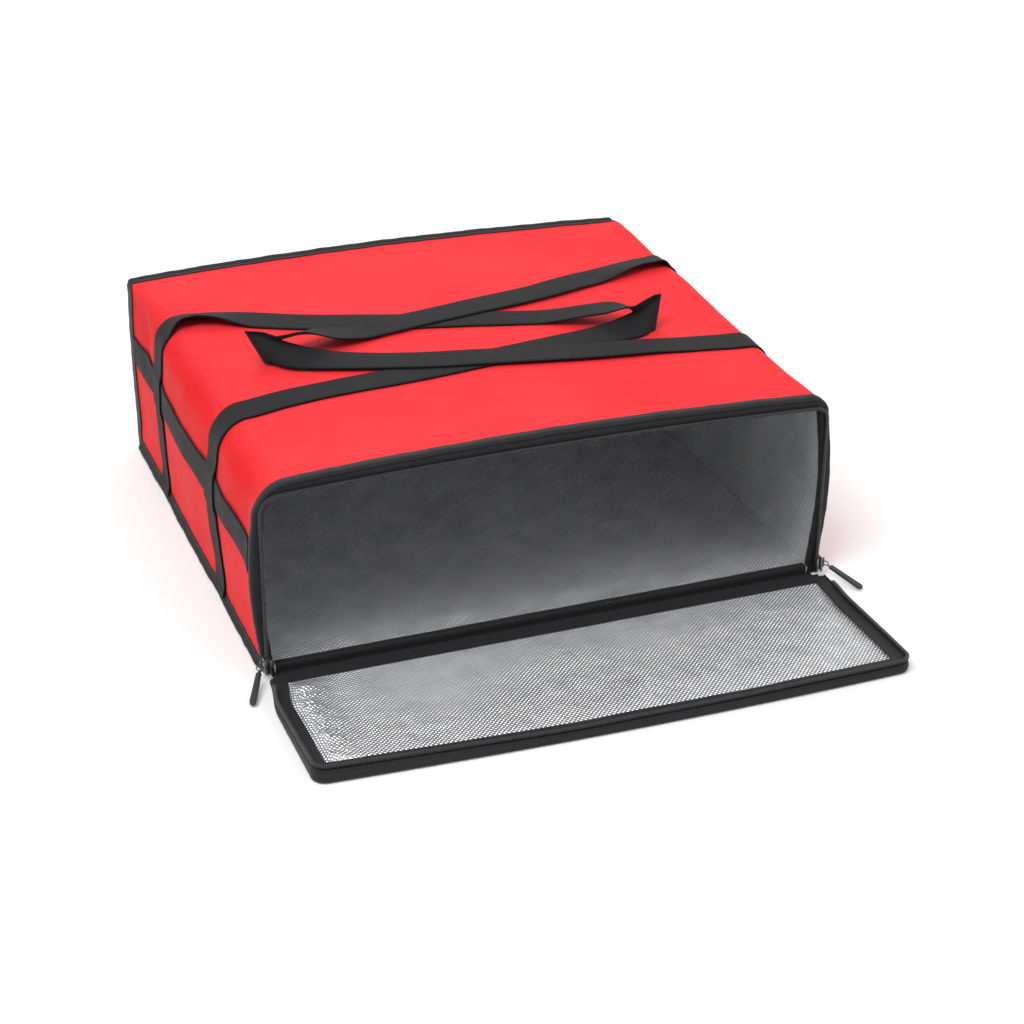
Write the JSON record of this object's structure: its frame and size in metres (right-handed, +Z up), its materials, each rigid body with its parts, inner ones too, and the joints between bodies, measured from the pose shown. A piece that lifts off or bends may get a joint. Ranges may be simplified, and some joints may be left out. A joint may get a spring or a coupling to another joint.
{
  "type": "pizza delivery bag",
  "caption": "Soft insulated bag that loads flat boxes from the front, with a drop-down zipped flap, a foil-lined interior, crossing webbing handles and webbing side straps.",
  "frame": {"origin": "middle of the bag's underside, on the floor it stands on", "axes": "+X to the right along the mouth as seen from the front, +Y from the mouth to the back, +Z up"},
  "size_m": [0.5506, 0.6469, 0.207],
  "materials": {
    "red_fabric": "matte",
    "black_binding": "matte",
    "black_webbing": "matte",
    "foam": "matte",
    "silver_foil": "gloss",
    "zipper_teeth": "satin",
    "zipper_metal": "satin",
    "pull_tab": "satin"
  },
  "bodies": {
    "bag_body": {"outer_shell": "red_fabric", "back_panel": "red_fabric", "bottom_panel": "red_fabric", "left_foam_board": "foam", "right_foam_board": "foam", "top_foam_board": "foam", "back_foam_board": "foam", "bottom_foam_board": "foam", "foil_lining": "silver_foil", "back_foil_lining": "silver_foil", "bottom_foil_lining": "silver_foil", "mouth_rim_binding": "black_binding", "mouth_sill_binding": "black_binding", "back_edge_binding": "black_binding", "back_bottom_binding": "black_binding", "left_bottom_binding": "black_binding", "right_bottom_binding": "black_binding", "left_side_belt": "black_webbing", "right_side_belt": "black_webbing", "left_front_side_strap": "black_webbing", "left_rear_side_strap": "black_webbing", "right_front_side_strap": "black_webbing", "right_rear_side_strap": "black_webbing", "mouth_zipper_tape": "black_binding", "mouth_zipper_teeth": "zipper_teeth", "left_chain_stop": "zipper_metal", "right_chain_stop": "zipper_metal", "flap_hinge_strip": "black_binding"},
    "flap": {"flap_outer_panel": "red_fabric", "flap_foam_board": "foam", "flap_foil_lining": "silver_foil", "flap_edge_binding": "black_binding", "flap_zipper_tape": "black_binding", "flap_zipper_teeth": "zipper_teeth"},
    "left_handle_body": {"left_handle": "black_webbing"},
    "right_handle_body": {"right_handle": "black_webbing"},
    "left_slider_body": {"left_zipper_slider": "zipper_metal"},
    "left_pull_body": {"left_pull_link": "zipper_metal", "left_pull_tab": "pull_tab"},
    "right_slider_body": {"right_zipper_slider": "zipper_metal"},
    "right_pull_body": {"right_pull_link": "zipper_metal", "right_pull_tab": "pull_tab"}
  },
  "joints": [
    {"name": "flap_hinge", "type": "hinge", "parent": "bag_body", "child": "flap", "pos_m": [0, -0.2466, 0.0029], "axis": [-1, 0, 0], "range_deg": [0, 90]},
    {"name": "left_handle_lift", "type": "hinge", "parent": "bag_body", "child": "left_handle_body", "pos_m": [-0.218, 0, 0.17373], "axis": [0, -1, 0], "range_deg": [0, 60]},
    {"name": "right_handle_lift", "type": "hinge", "parent": "bag_body", "child": "right_handle_body", "pos_m": [0.218, 0, 0.17373], "axis": [0, 1, 0], "range_deg": [0, 60]},
    {"name": "left_slider_run", "type": "slide", "parent": "bag_body", "child": "left_slider_body", "axis": [0, 0, 1], "range_m": [0, 0.11]},
    {"name": "right_slider_run", "type": "slide", "parent": "bag_body", "child": "right_slider_body", "axis": [0, 0, 1], "range_m": [0, 0.11]},
    {"name": "left_pull_swing", "type": "hinge", "parent": "left_slider_body", "child": "left_pull_body", "pos_m": [-0.2561, -0.23865, 0.012], "axis": [-0.9135, 0.4067, 0], "range_deg": [0, 55]},
    {"name": "right_pull_swing", "type": "hinge", "parent": "right_slider_body", "child": "right_pull_body", "pos_m": [0.2561, -0.23865, 0.012], "axis": [-0.9135, -0.4067, 0], "range_deg": [0, 55]}
  ]
}
